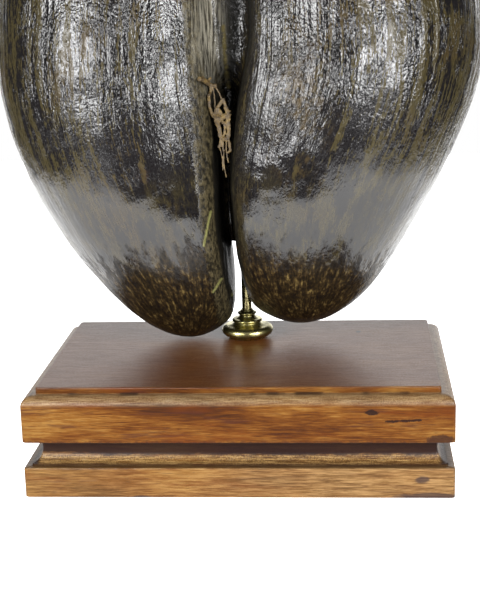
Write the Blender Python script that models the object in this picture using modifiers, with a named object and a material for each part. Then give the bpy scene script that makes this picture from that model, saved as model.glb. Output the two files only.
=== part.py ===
"""Coco de mer nut, held lobes-down by a brass rod over a moulded wooden plinth.

Metres, +Z up. The origin is the middle of the plinth's underside, and the nut's front, with the
germination pore, faces -Y.
"""

import math

import bmesh
import bpy
import numpy as np
from mathutils import Matrix, Vector
from mathutils.bvhtree import BVHTree

CLEARANCE = 0.0003

# The plinth: two boards, glued one on the other.
PLINTH_WIDTH = 0.240
PLINTH_DEPTH = 0.1564
CORNER_RADIUS = 0.0014
ARRIS = 0.0006
BASE_FACE_TOP = 0.0176
LEDGE_DEPTH = 0.0040
COVE_FOOT = 0.0189
COVE_DEEPEST = 0.0093
COVE_DEEPEST_Z = 0.0262
COVE_LIP = 0.0061
BASE_BOARD_TOP = 0.0320
TOP_BOARD_BOTTOM = 0.0323
TOP_FACE_TOP = 0.0530
OVOLO_REACH = 0.0062
PANEL_FOOT = 0.0587
PANEL_INSET = 0.0076
PLINTH_TOP = 0.0623

# The brass rod, its fixing under the plinth, and the turned collar.
ROD_X = -0.0005
ROD_Y = 0.0326
ROD_RADIUS = 0.0030
ROD_BOTTOM = 0.0012
ROD_TOP = 0.1780
TURNED_STEPS = 40
COUNTERBORE_RADIUS = 0.0110
COUNTERBORE_DEPTH = 0.0092
WASHER_RADIUS = 0.0090
WASHER_THICKNESS = 0.0015
LOCKNUT_FLATS = 0.0100
LOCKNUT_THICKNESS = 0.0050
COLLAR_BEAD_RADIUS = 0.0158
COLLAR_RING_RADIUS = 0.0094
COLLAR_NECK_RADIUS = 0.0058

# Where the nut stands, and its size against the lengths below.
NUT_X = -0.0080
NUT_Y = 0.0375
NUT_Z = 0.0705
NUT_SCALE = 1.036
NUT_LEAN = 8.0

# The nut, in its own frame: the cleft's plane is x = 0, and z = 0 is the shorter lobe's tip.
TIP_BOW = 0.0120
NUT_HEIGHT = 0.302
LOBE_HALF_WIDTH = 0.0822
LOBE_FRONT_DEPTH = 0.082
LOBE_BACK_DEPTH = 0.086
LOBE_WIDE_Z = 0.166
LOBE_TIP_X = 0.0363
LOBE_WIDE_X = 0.0640
LOBE_TOP_X = 0.0600
CLEFT_HALF_GAP = 0.0022
CLEFT_BULGE = 0.25
CLEFT_EDGE = 0.0095
CLEFT_EDGE_TOP = 0.030
FRONT_FLARE = 0.0090
BACK_FLARE = 0.0070
FLARE_FOOT_Z = 0.098
FLARE_FULL_Z = 0.176
WEB_MIDDLE_Z = 0.166
WEB_HALF_HEIGHT = 0.106
WEB_HALF_WIDTH = 0.050
WEB_FRONT_DEPTH = 0.064
WEB_BACK_DEPTH = 0.064
VALLEY_DEPTH = 0.026
VALLEY_FOOT_Z = 0.165
VALLEY_HEAD_Z = 0.262
PORE_DEPTH = 0.020
PORE_SILL_Z = 0.126
PORE_TOP_Z = 0.156
LEFT_LOBE_SHARE = 0.960
CELLS_ACROSS = 28

# The tuft of fibres that hangs out of the pore.
FIBRE_RADIUS = 0.0008
FIBRE_CELL = 0.00068
FIBRE_PLANE_Y = -0.058
TUFT_DROP = 10.0


def smooth_step(value, low, high):
    share = np.clip((value - low) / (high - low), 0, 1)
    return share * share * (3 - 2 * share)


def soft_max(a, b, radius):
    """The larger of two distances, with the corner between them rounded."""
    overlap = np.clip(radius - np.abs(a - b), 0, None) / radius
    return np.maximum(a, b) + overlap * overlap * radius / 4


def soft_min(a, b, radius):
    return -soft_max(-a, -b, radius)


def lobe_middle(z):
    """How far a lobe's middle line stands from the cleft's plane."""
    below = LOBE_TIP_X + (LOBE_WIDE_X - LOBE_TIP_X) * smooth_step(z, 0, LOBE_WIDE_Z)
    return below + (LOBE_TOP_X - LOBE_WIDE_X) * smooth_step(z, LOBE_WIDE_Z, NUT_HEIGHT)


def bow(z):
    """How far forward the nut's middle stands: its tips curve to the front."""
    return -TIP_BOW * (1 - smooth_step(z, -0.030, 0.200))


def lobe_field(x, y, z):
    """About the distance outside one lobe: an egg on its tip, cut off along the cleft."""
    y = y - bow(z)
    half_height = np.where(z < LOBE_WIDE_Z, LOBE_WIDE_Z, NUT_HEIGHT - LOBE_WIDE_Z)
    half_depth = np.where(y < 0, LOBE_FRONT_DEPTH, LOBE_BACK_DEPTH)
    rise = np.abs(z - LOBE_WIDE_Z) / half_height
    across = np.hypot((x - lobe_middle(z)) / LOBE_HALF_WIDTH, y / half_depth)
    fullness = np.where(z < LOBE_WIDE_Z, 2.0, 2.25)
    egg = (across**fullness + rise**fullness) ** (1 / fullness)
    flare = np.where(y < 0, FRONT_FLARE, BACK_FLARE) * smooth_step(z, FLARE_FOOT_Z, FLARE_FULL_Z)
    half_gap = CLEFT_HALF_GAP + CLEFT_BULGE * y * y + flare * smooth_step(np.abs(y), 0, 0.05)
    edge_radius = CLEFT_EDGE + (CLEFT_EDGE_TOP - CLEFT_EDGE) * smooth_step(z, 0.190, 0.290)
    return soft_max((egg - 1) * LOBE_HALF_WIDTH, half_gap - x, edge_radius)


def web_field(x, y, z):
    """About the distance outside the web that joins the lobes, with the pore sunk in its front."""
    y = y - bow(z)
    sunk = VALLEY_DEPTH * (1 - smooth_step(z, VALLEY_FOOT_Z, VALLEY_HEAD_Z))
    sunk += PORE_DEPTH * (1 - smooth_step(z, PORE_SILL_Z, PORE_TOP_Z))
    half_depth = np.where(y < 0, WEB_FRONT_DEPTH - sunk, WEB_BACK_DEPTH)
    reach = np.sqrt(
        (x / WEB_HALF_WIDTH) ** 2
        + (y / half_depth) ** 2
        + ((z - WEB_MIDDLE_Z) / WEB_HALF_HEIGHT) ** 2
    )
    return (reach - 1) * half_depth


def nut_field(points):
    x, y, z = np.abs(points[:, 0]), points[:, 1], points[:, 2]
    blend = 0.007 + 0.030 * smooth_step(z, 0.200, 0.285)
    return soft_min(lobe_field(x, y, z), web_field(x, y, z), blend)


def surface_along(start, directions, furthest):
    """Where rays from inside the nut leave it, by halving."""
    inside = np.zeros(len(directions))
    outside = np.array(furthest)
    for _ in range(24):
        middle = (inside + outside) / 2
        out = nut_field(start + directions * middle[:, None]) > 0
        outside = np.where(out, middle, outside)
        inside = np.where(out, inside, middle)
    return start + directions * inside[:, None]


def on_the_nut(ball):
    """Points of the unit ball laid on the nut: its x = 0 circle becomes the web's own outline."""
    side = np.where(ball[:, 0] < 0, -1.0, 1.0)
    turn = np.arctan2(ball[:, 1], ball[:, 2])
    share = np.arccos(np.clip(np.abs(ball[:, 0]), 0, 1)) / (math.pi / 2)
    outline_way = np.stack([0 * turn, np.sin(turn), np.cos(turn)], axis=1)
    web_middle = np.array([0, 0, WEB_MIDDLE_Z])
    outline = surface_along(web_middle, outline_way, np.full(len(ball), 0.2))
    heart = np.array([LOBE_WIDE_X, 0, WEB_MIDDLE_Z])
    last = outline - heart
    last /= np.linalg.norm(last, axis=1)[:, None]
    last_angle = np.arccos(np.clip(last[:, 0], -1, 1))
    across = last - last[:, :1] * np.array([1.0, 0, 0])
    across /= np.linalg.norm(across, axis=1)[:, None]
    angle = last_angle * share
    ways = np.cos(angle)[:, None] * np.array([1.0, 0, 0]) + np.sin(angle)[:, None] * across
    to_plane = np.where(ways[:, 0] < -1e-6, heart[0] / np.maximum(-ways[:, 0], 1e-6), 0.3)
    laid = surface_along(heart, ways, np.minimum(to_plane, 0.3))
    laid = np.where((share > 1 - 1e-6)[:, None], outline, laid)
    laid[:, 0] *= side
    return laid


def grown_unevenly(points):
    """The nut's own unevenness: a longer left lobe, tips that lean, and a cleft that wanders."""
    left = points[:, 0] < 0
    points[:, 0] *= np.where(left, LEFT_LOBE_SHARE, 1)
    low = np.clip(1 - points[:, 2] / 0.110, 0, 1)
    points[:, 2] -= np.where(left, 0.008, 0) * low**1.5
    points[:, 0] += np.where(left, 0.006, 0.003) * (1 - smooth_step(points[:, 2], -0.012, 0.060))
    points[:, 0] += 0.0015 * np.cos(2 * math.pi * points[:, 2] / 0.170)
    return points


def hull_ring(inset, z):
    """One level of the plinth's moulding: a rectangle with its corners slightly rounded."""
    half_x, half_y = PLINTH_WIDTH / 2 - inset, PLINTH_DEPTH / 2 - inset
    ring = []
    for corner in range(4):
        side_x, side_y = ((1, 1), (-1, 1), (-1, -1), (1, -1))[corner]
        for step in range(4):
            angle = (corner + step / 3) * math.pi / 2
            x = side_x * (half_x - CORNER_RADIUS) + CORNER_RADIUS * math.cos(angle)
            y = side_y * (half_y - CORNER_RADIUS) + CORNER_RADIUS * math.sin(angle)
            ring.append((x, y, z))
    return ring


def arc(middle_inset, middle_z, reach, rise, start, end, steps):
    """Points of a quarter or half round in the moulding's section, as (inset, z)."""
    angles = [math.radians(start + (end - start) * i / steps) for i in range(steps + 1)]
    return [(middle_inset - reach * math.cos(a), middle_z + rise * math.sin(a)) for a in angles]


def moulded_board(name, section):
    """A board lofted through its moulding's levels, and closed below and above."""
    bm = bmesh.new()
    rings = [[bm.verts.new(p) for p in hull_ring(*level)] for level in section]
    count = len(rings[0])
    for lower, upper in zip(rings, rings[1:]):
        for i in range(count):
            j = (i + 1) % count
            bm.faces.new((lower[i], lower[j], upper[j], upper[i]))
    bm.faces.new(reversed(rings[0]))
    bm.faces.new(rings[-1])
    return finished(name, bm)


def finished(name, bm, smooth=False):
    bmesh.ops.recalc_face_normals(bm, faces=bm.faces[:])
    for face in bm.faces:
        face.smooth = smooth
    mesh = bpy.data.meshes.new(name)
    bm.to_mesh(mesh)
    bm.free()
    return mesh


def cylinder_mesh(name, radius, bottom, top, steps=TURNED_STEPS, smooth=False):
    bm = bmesh.new()
    bmesh.ops.create_cone(
        bm,
        cap_ends=True,
        segments=steps,
        radius1=radius,
        radius2=radius,
        depth=top - bottom,
        matrix=Matrix.Translation((0, 0, (top + bottom) / 2)),
    )
    return finished(name, bm, smooth)


def turned_mesh(name, profile):
    """A ring turned about Z from its closed section of (radius, z) points."""
    bm = bmesh.new()
    verts = [bm.verts.new((r, 0, z)) for r, z in profile]
    edges = [bm.edges.new((a, b)) for a, b in zip(verts, verts[1:] + verts[:1])]
    bmesh.ops.spin(
        bm,
        geom=verts + edges,
        cent=(0, 0, 0),
        axis=(0, 0, 1),
        angle=2 * math.pi,
        steps=TURNED_STEPS,
        use_merge=True,
    )
    bmesh.ops.remove_doubles(bm, verts=bm.verts[:], dist=1e-6)
    return finished(name, bm, True)


def material(name, colour, roughness, metallic=0.0):
    made = bpy.data.materials.new(name)
    made.use_nodes = True
    shader = made.node_tree.nodes["Principled BSDF"]
    shader.inputs["Base Color"].default_value = (*colour, 1)
    shader.inputs["Roughness"].default_value = roughness
    shader.inputs["Metallic"].default_value = metallic
    return made


def fresh_object(name, mesh, collection, slot=None):
    made = bpy.data.objects.new(name, mesh)
    if slot:
        mesh.materials.append(slot)
    collection.objects.link(made)
    return made


def cut(target, cutter, operation="DIFFERENCE"):
    change = target.modifiers.new("cut_" + cutter.name, "BOOLEAN")
    change.object = cutter
    change.operation = operation
    change.solver = "EXACT"


def nut_mesh():
    bm = bmesh.new()
    bmesh.ops.create_cube(bm, size=2)
    bmesh.ops.subdivide_edges(bm, edges=bm.edges[:], cuts=CELLS_ACROSS - 1, use_grid_fill=True)
    cube = np.array([v.co for v in bm.verts])
    ball = np.tan(cube * math.pi / 4 * 0.999)
    ball /= np.linalg.norm(ball, axis=1)[:, None]
    for vert, place in zip(bm.verts, grown_unevenly(on_the_nut(ball))):
        vert.co = place
    return finished("nut", bm, True)


def strand(bm, path, start_radius, end_radius):
    """One fibre: a five-sided tapering tube along its path, closed at both ends."""
    rings = []
    for i, here in enumerate(path):
        way = (path[min(i + 1, len(path) - 1)] - path[max(i - 1, 0)]).normalized()
        side = way.cross(Vector((0, 1, 0))).normalized()
        lift = way.cross(side)
        radius = start_radius + (end_radius - start_radius) * i / (len(path) - 1)
        turns = [2 * math.pi * k / 5 for k in range(5)]
        ring = [here + radius * (math.cos(t) * side + math.sin(t) * lift) for t in turns]
        rings.append([bm.verts.new(p) for p in ring])
    for lower, upper in zip(rings, rings[1:]):
        for k in range(5):
            j = (k + 1) % 5
            bm.faces.new((lower[k], lower[j], upper[j], upper[k]))
    bm.faces.new(reversed(rings[0]))
    bm.faces.new(rings[-1])


def tuft_mesh(nut_surface):
    """The net of fibres: two ragged loops, a knot beside them, and thin ends that hang."""
    bm = bmesh.new()
    # Each strand's two ends across and up, its bulge sideways (all in mm), and its thickness.
    strands = (
        ((-8.5, 143.5), (-2.5, 141.0), 0.8, 1.3),
        ((-8.5, 143.5), (-6.2, 132.5), -0.8, 1.0),
        ((-2.5, 141.0), (-6.6, 133.5), 0.6, 1.4),
        ((-6.2, 132.5), (0.6, 131.0), 1.0, 1.6),
        ((-2.5, 141.0), (2.2, 133.5), 0.8, 1.0),
        ((2.2, 133.5), (0.6, 131.0), 0.4, 1.3),
        ((0.6, 131.0), (1.4, 123.5), 0.8, 1.0),
        ((-5.8, 132.0), (-4.0, 124.5), -0.8, 1.2),
        ((-4.0, 124.5), (1.4, 123.5), -1.3, 1.1),
        ((-3.8, 124.2), (-5.2, 115.5), 0.6, 0.9),
        ((-1.0, 123.0), (-1.4, 113.0), -0.7, 0.9),
        ((1.4, 123.5), (2.8, 117.0), 0.5, 0.9),
        ((-4.4, 130.5), (0.4, 128.0), 0.6, 1.4),
        ((-8.5, 143.5), (-16.0, 152.5), 0.6, 1.2),
    )
    for (x_1, z_1), (x_2, z_2), bulge, thick in strands:
        start = Vector((x_1, 0, z_1 - TUFT_DROP)) / 1000
        end = Vector((x_2, 0, z_2 - TUFT_DROP)) / 1000
        side = (end - start).cross(Vector((0, 1, 0))).normalized() * bulge / 1000
        path = []
        for i in range(9):
            here = start.lerp(end, i / 8) + side * math.sin(math.pi * i / 8)
            room = FIBRE_RADIUS * thick + 2 * CLEARANCE
            fronts = [FIBRE_PLANE_Y]
            for beside in (-room, 0, room):
                for above in (-room, room):
                    eye = Vector((here.x + beside, -0.2, here.z + above))
                    met = nut_surface.ray_cast(eye, Vector((0, 1, 0)))[0]
                    if met:
                        fronts.append(met.y - room)
            here.y = min(fronts)
            path.append(here)
        strand(bm, path, FIBRE_RADIUS * thick, FIBRE_RADIUS * thick * 0.9)
    return finished("fibre_tuft", bm, True)


for old in list(bpy.data.objects):
    bpy.data.objects.remove(old)
parts = bpy.data.collections.new("coco_de_mer_nut")
bpy.context.scene.collection.children.link(parts)
cutters = bpy.data.collections.new("cutters")
bpy.context.scene.collection.children.link(cutters)
cutters.hide_render = True

shell = material("nut_shell", (0.050, 0.038, 0.026), 0.30)
fibre = material("dry_fibre", (0.36, 0.20, 0.07), 0.85)
brass = material("aged_brass", (0.42, 0.36, 0.17), 0.28, 1.0)
board = material("varnished_wood", (0.23, 0.085, 0.030), 0.35)

# The plinth.
cove_foot_z = COVE_DEEPEST_Z - COVE_FOOT
cove_lip_z = BASE_BOARD_TOP - COVE_DEEPEST_Z
base_section = [
    (ARRIS, 0),
    (0, ARRIS),
    (0, BASE_FACE_TOP - ARRIS),
    (ARRIS, BASE_FACE_TOP),
    (LEDGE_DEPTH, BASE_FACE_TOP + 0.0002),
    (LEDGE_DEPTH, COVE_FOOT),
]
base_section += arc(LEDGE_DEPTH, COVE_DEEPEST_Z, LEDGE_DEPTH - COVE_DEEPEST, cove_foot_z, -90, 0, 6)[1:]
base_section += arc(COVE_LIP, COVE_DEEPEST_Z, COVE_LIP - COVE_DEEPEST, cove_lip_z, 0, 90, 5)[1:]
base_board = fresh_object("base_board", moulded_board("base_board", base_section), parts, board)

top_section = [
    (ARRIS, TOP_BOARD_BOTTOM),
    (0, TOP_BOARD_BOTTOM + ARRIS),
]
ovolo_rise = PANEL_FOOT - TOP_FACE_TOP
top_section += arc(OVOLO_REACH, TOP_FACE_TOP, OVOLO_REACH, ovolo_rise, 0, 90, 6)
top_section += [
    (PANEL_INSET, PANEL_FOOT + 0.0001),
    (PANEL_INSET, PLINTH_TOP - ARRIS),
    (PANEL_INSET + ARRIS, PLINTH_TOP),
]
top_board = fresh_object("top_board", moulded_board("top_board", top_section), parts, board)

# The rod, and the holes it passes through.
rod = fresh_object("rod", cylinder_mesh("rod", ROD_RADIUS, ROD_BOTTOM, ROD_TOP, 32, True), parts, brass)
rod.location = (ROD_X, ROD_Y, 0)
rod_hole = fresh_object(
    "rod_hole",
    cylinder_mesh("rod_hole", ROD_RADIUS + CLEARANCE, -0.010, ROD_TOP + CLEARANCE, 32),
    cutters,
)
rod_hole.location = rod.location
counterbore = fresh_object(
    "counterbore",
    cylinder_mesh("counterbore", COUNTERBORE_RADIUS, -0.010, COUNTERBORE_DEPTH),
    cutters,
)
counterbore.location = rod.location
for cutter in (rod_hole, counterbore):
    cutter.hide_render = True
    cutter.display_type = "WIRE"
cut(base_board, counterbore)
cut(base_board, rod_hole)
cut(top_board, rod_hole)

# The washer and the locknut that hold the rod down, out of sight in the counterbore.
bore = ROD_RADIUS + CLEARANCE
washer_top = COUNTERBORE_DEPTH - CLEARANCE
washer_bottom = washer_top - WASHER_THICKNESS
washer_ring = [
    (bore, washer_bottom),
    (WASHER_RADIUS, washer_bottom),
    (WASHER_RADIUS, washer_top),
    (bore, washer_top),
]
washer = fresh_object("rod_washer", turned_mesh("rod_washer", washer_ring), parts, brass)
washer.location = rod.location
locknut_top = washer_bottom - CLEARANCE
locknut = fresh_object(
    "rod_locknut",
    cylinder_mesh(
        "rod_locknut",
        LOCKNUT_FLATS / math.sqrt(3),
        locknut_top - LOCKNUT_THICKNESS,
        locknut_top,
        6,
    ),
    parts,
    brass,
)
locknut.location = rod.location
cut(locknut, rod_hole)

# The turned collar: a foot, a big bead, a hollow up to a small ring, and a hollow up to the neck.
collar_foot = PLINTH_TOP + CLEARANCE
collar_section = [(bore, collar_foot), (0.0112, collar_foot), (0.0122, collar_foot + 0.0012)]
for i in range(9):
    turn = math.radians(-80 + 20 * i)
    bulge = 0.0030 * math.cos(turn)
    collar_section.append((COLLAR_BEAD_RADIUS - 0.0030 + bulge, 0.0672 + 0.0030 * math.sin(turn)))
for i in range(1, 5):
    turn = math.radians(90 * i / 5)
    reach = (COLLAR_BEAD_RADIUS - 0.0030 - 0.0082) * (1 - math.sin(turn))
    collar_section.append((0.0082 + reach, 0.0724 - 0.0022 * math.cos(turn)))
for i in range(6):
    turn = math.radians(-90 + 36 * i)
    bulge = 0.0009 * (math.cos(turn) - 1)
    collar_section.append((COLLAR_RING_RADIUS + bulge, 0.0735 + 0.0009 * math.sin(turn)))
for i in range(1, 5):
    turn = math.radians(90 * i / 5)
    reach = (COLLAR_RING_RADIUS - 0.0012 - 0.0046) * (1 - math.sin(turn))
    collar_section.append((0.0046 + reach, 0.0768 - 0.0024 * math.cos(turn)))
for i in range(6):
    turn = math.radians(-90 + 36 * i)
    bulge = 0.0008 * (math.cos(turn) - 1)
    collar_section.append((COLLAR_NECK_RADIUS + bulge, 0.0778 + 0.0008 * math.sin(turn)))
collar_section += [(0.0042, 0.0790), (0.0038, 0.0800), (bore, 0.0800)]
collar = fresh_object("collar", turned_mesh("collar", collar_section), parts, brass)
collar.location = rod.location

# The nut, with the hole drilled for the rod, and its tuft.
nut = fresh_object("nut", nut_mesh(), parts, shell)
nut.location = (NUT_X, NUT_Y, NUT_Z)
nut.rotation_euler = (math.radians(-NUT_LEAN), 0, 0)
nut.scale = (NUT_SCALE, NUT_SCALE, NUT_SCALE)
cut(nut, rod_hole)

shaped = bmesh.new()
shaped.from_mesh(nut.data)
nut_surface = BVHTree.FromBMesh(shaped)
shaped.free()
tuft = fresh_object("fibre_tuft", tuft_mesh(nut_surface), parts, fibre)
tuft.location = nut.location
tuft.rotation_euler = nut.rotation_euler
tuft.scale = nut.scale
fuse = tuft.modifiers.new("fuse", "REMESH")
fuse.mode = "VOXEL"
fuse.voxel_size = FIBRE_CELL
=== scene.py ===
import math

import bmesh
import bpy
import numpy as np
from mathutils import Matrix, Vector, noise
from mathutils.bvhtree import BVHTree


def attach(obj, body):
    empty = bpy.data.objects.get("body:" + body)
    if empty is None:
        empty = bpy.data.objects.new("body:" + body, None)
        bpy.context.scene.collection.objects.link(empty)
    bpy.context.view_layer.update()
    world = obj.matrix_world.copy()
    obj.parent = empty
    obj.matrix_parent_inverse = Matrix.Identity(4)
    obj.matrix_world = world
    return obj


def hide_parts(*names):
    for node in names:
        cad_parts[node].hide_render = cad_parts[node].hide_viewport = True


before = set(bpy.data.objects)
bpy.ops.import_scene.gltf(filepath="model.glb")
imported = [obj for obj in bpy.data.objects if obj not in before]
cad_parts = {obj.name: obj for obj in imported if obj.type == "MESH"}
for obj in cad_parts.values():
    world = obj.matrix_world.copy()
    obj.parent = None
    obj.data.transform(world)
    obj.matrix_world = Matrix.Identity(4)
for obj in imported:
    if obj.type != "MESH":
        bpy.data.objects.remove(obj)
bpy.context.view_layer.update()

# The plinth is two varnished hardwood boards, glued one on the other. The lower has a hollow
# run round its upper edge; the upper has a quarter round and a raised panel worked on it.

BOARD_WIDTH = 0.240
BOARD_DEPTH = 0.1564
FRONT_Y = -BOARD_DEPTH / 2
CORNER_ROUND = 0.0014
ARRIS = 0.0006
ARRIS_MIDDLE = 0.0002
JUST_INSIDE = 0.00002
BASE_FACE_TOP = 0.0176
LEDGE_DEPTH = 0.0040
COVE_FOOT = 0.0189
COVE_DEEPEST = 0.0093
COVE_DEEPEST_Z = 0.0262
COVE_LIP = 0.0061
BASE_BOARD_TOP = 0.0320
TOP_BOARD_BOTTOM = 0.0323
TOP_FACE_TOP = 0.0530
OVOLO_REACH = 0.0062
PANEL_FOOT = 0.0587
PANEL_INSET = 0.0076
FILLET_RISE = 0.0001
PLINTH_TOP = 0.0623
WIDE_FACE_AREA = 0.0002
VARNISH_IOR = 1.65
SUNK_VARNISH_IOR = 1.14


class Link:
    """A value or colour on its way through one material, on which sums can be written."""

    def __init__(self, finish, socket):
        self.finish = finish
        self.socket = socket

    def sum(self, operation, *others):
        values = {i: other for i, other in enumerate((self, *others))}
        return self.finish.node("ShaderNodeMath", {"operation": operation}, values)

    def __add__(self, other):
        return self.sum("ADD", other)

    __radd__ = __add__

    def __mul__(self, other):
        return self.sum("MULTIPLY", other)

    def __sub__(self, other):
        return self.sum("SUBTRACT", other)

    def __rsub__(self, other):
        return (self * -1) + other

    def __truediv__(self, other):
        return self.sum("DIVIDE", other)

    def least(self, other):
        return self.sum("MINIMUM", other)

    def most(self, other):
        return self.sum("MAXIMUM", other)

    def size(self):
        return self.sum("ABSOLUTE")


class Finish:
    """One material: node() adds any node, and the rest are the nodes that finishes share."""

    def __init__(self, name):
        self.material = bpy.data.materials.new(name)
        self.material.use_nodes = True
        self.tree = self.material.node_tree
        self.shader = self.tree.nodes["Principled BSDF"]

    def node(self, kind, settings=None, values=None, out=0):
        made = self.tree.nodes.new(kind)
        for name, setting in (settings or {}).items():
            if name == "stops":
                while len(made.color_ramp.elements) < len(setting):
                    made.color_ramp.elements.new(0.5)
                for element, (place, colour) in zip(made.color_ramp.elements, setting):
                    element.position = place
                    element.color = (*colour, 1)
            else:
                setattr(made, name, setting)
        self.fill(made, values or {})
        found = [s for s in made.outputs if s.identifier == out]
        return Link(self, found[0] if found else made.outputs[out])

    def fill(self, made, values):
        for name, value in values.items():
            found = [s for s in made.inputs if s.identifier == name]
            socket = found[0] if found else made.inputs[name]
            if isinstance(value, Link):
                self.tree.links.new(value.socket, socket)
            else:
                socket.default_value = value

    def place(self):
        return self.node("ShaderNodeTexCoord", out="Object")

    def carried(self, name, out="Vector"):
        """What the mesh carries at each point under this name."""
        return self.node("ShaderNodeAttribute", {"attribute_name": name}, out=out)

    def apart(self, vector):
        made = self.node("ShaderNodeSeparateXYZ", values={"Vector": vector})
        outputs = made.socket.node.outputs
        return [Link(self, socket) for socket in outputs]

    def together(self, x, y, z):
        return self.node("ShaderNodeCombineXYZ", values={"X": x, "Y": y, "Z": z})

    def stretch(self, vector, by):
        return self.node("ShaderNodeVectorMath", {"operation": "MULTIPLY"}, {0: vector, 1: by})

    def add(self, vector, other):
        return self.node("ShaderNodeVectorMath", {"operation": "ADD"}, {0: vector, 1: other})

    def measure(self, operation, vector, other):
        values = {0: vector, 1: other}
        return self.node("ShaderNodeVectorMath", {"operation": operation}, values, out="Value")

    def noise(self, vector, scale, detail=3.0, roughness=0.5, warp=0.0):
        values = {
            "Vector": vector,
            "Scale": scale,
            "Detail": detail,
            "Roughness": roughness,
            "Distortion": warp,
        }
        return self.node("ShaderNodeTexNoise", values=values, out="Fac")

    def rise(self, value, low, high, first=0.0, last=1.0):
        """A smooth step from one value to another."""
        values = {"Value": value, "From Min": low, "From Max": high, "To Min": first, "To Max": last}
        return self.node("ShaderNodeMapRange", {"interpolation_type": "SMOOTHSTEP"}, values)

    def mix(self, share, first, last):
        first, last = [
            (*c, 1) if isinstance(c, tuple) and len(c) == 3 else c for c in (first, last)
        ]
        values = {"Factor_Float": share, "A_Color": first, "B_Color": last}
        return self.node("ShaderNodeMix", {"data_type": "RGBA"}, values, out="Result_Color")

    def ramp(self, value, *stops):
        return self.node("ShaderNodeValToRGB", {"stops": stops}, {"Fac": value})

    def near(self, vector, centre, reach):
        """1 at a point and 0 past its reach; reach is one length for each axis."""
        away = self.add(vector, tuple(-c for c in centre))
        scaled = self.stretch(away, tuple(1 / r for r in reach))
        return self.rise(self.measure("DISTANCE", scaled, (0, 0, 0)), 1.0, 0.0)

    def near_line(self, vector, start, end, reach):
        """1 on the straight line between two points and 0 past its reach."""
        start, way = Vector(start), Vector(end) - Vector(start)
        away = self.add(vector, tuple(-start))
        along = self.measure("DOT_PRODUCT", away, tuple(way))
        share = (along / way.length_squared).most(0).least(1)
        foot = self.stretch(self.together(share, share, share), tuple(way))
        aside = self.measure("DISTANCE", away, foot)
        return self.rise(aside, reach, 0.0)

    def relief(self, height, distance, strength=1.0):
        values = {"Height": height, "Distance": distance, "Strength": strength}
        return self.node("ShaderNodeBump", values=values)

    def shade(self, **values):
        self.fill(self.shader, {k.replace("_", " "): v for k, v in values.items()})
        return self.material

    def dulled(self, share, **values):
        """Lays a second, duller shader over the first wherever share is 1."""
        dull = self.tree.nodes.new("ShaderNodeBsdfPrincipled")
        self.fill(dull, {k.replace("_", " "): v for k, v in values.items()})
        layers = {0: share, 1: Link(self, self.shader.outputs[0]), 2: Link(self, dull.outputs[0])}
        mixed = self.node("ShaderNodeMixShader", values=layers)
        self.tree.links.new(mixed.socket, self.tree.nodes["Material Output"].inputs["Surface"])
        return self.material


def varnished_hardwood(name, ochre_end, shift):
    """Horizontal grain with dark pores, stained in patches from dark brown to orange and ochre."""
    wood = Finish(name)
    x = wood.apart(wood.place())[0]
    moved = wood.add(wood.place(), (shift, shift * 0.7, shift * 0.4))
    drift = wood.noise(wood.stretch(moved, (11, 30, 34)), 1.0, 3, 0.55)
    figure = wood.noise(wood.stretch(moved, (30, 360, 380)), 1.0, 4, 0.66, warp=0.8)
    grain = wood.noise(wood.stretch(moved, (90, 1500, 1600)), 1.0, 3, 0.7)
    pores = wood.noise(wood.stretch(moved, (170, 2300, 2500)), 1.0, 2, 0.6)
    tone = wood.rise(drift * 0.46 + figure * 0.26 + grain * 0.28, 0.37, 0.63)
    colour = wood.ramp(
        tone,
        (0.0, (0.024, 0.007, 0.002)),
        (0.25, (0.052, 0.015, 0.002)),
        (0.50, (0.078, 0.026, 0.004)),
        (0.75, (0.112, 0.046, 0.008)),
        (1.0, (0.158, 0.080, 0.019)),
    )
    ochre = wood.rise(x + drift * 0.16, ochre_end + 0.14, ochre_end)
    pale = wood.mix(tone, (0.080, 0.036, 0.008), (0.210, 0.122, 0.036))
    colour = wood.mix(ochre * 0.8, colour, pale)
    red = wood.noise(wood.stretch(moved, (16, 60, 70)), 1.0, 3, 0.6)
    colour = wood.mix(wood.rise(red, 0.52, 0.68) * 0.55, colour, (0.074, 0.017, 0.002))
    purple = wood.noise(wood.stretch(moved, (34, 330, 330)), 1.0, 3, 0.6)
    colour = wood.mix(wood.rise(purple, 0.57, 0.70) * 0.55, colour, (0.034, 0.010, 0.006))
    colour = wood.mix(wood.rise(pores, 0.56, 0.70) * 0.45, colour, (0.022, 0.008, 0.003))
    return wood, colour, figure, grain, pores


def varnish_over(wood, colour, grain, pores, glossy):
    """Satin varnish that has sunk in on the upright faces; glossy says where it stands proud."""
    brushed = wood.noise(wood.stretch(wood.place(), (22, 300, 300)), 1.0, 3, 0.6)
    grit = wood.noise(wood.place(), 900, 3, 0.7)
    height = grain * 0.00003 - wood.rise(pores, 0.56, 0.70) * 0.00004 + brushed * 0.00001
    surface = wood.relief(height + grit * 0.00004, 1.0)
    worn = wood.rise(grit * 0.5 + grain * 0.5, 0.38, 0.62, 0.50, 1.0)
    wood.shade(Base_Color=colour, Roughness=0.37, IOR=VARNISH_IOR, Normal=surface)
    dull = 1 - (glossy * worn).least(1.0)
    return wood.dulled(dull, Base_Color=colour, Roughness=0.42, IOR=SUNK_VARNISH_IOR, Normal=surface)


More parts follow.
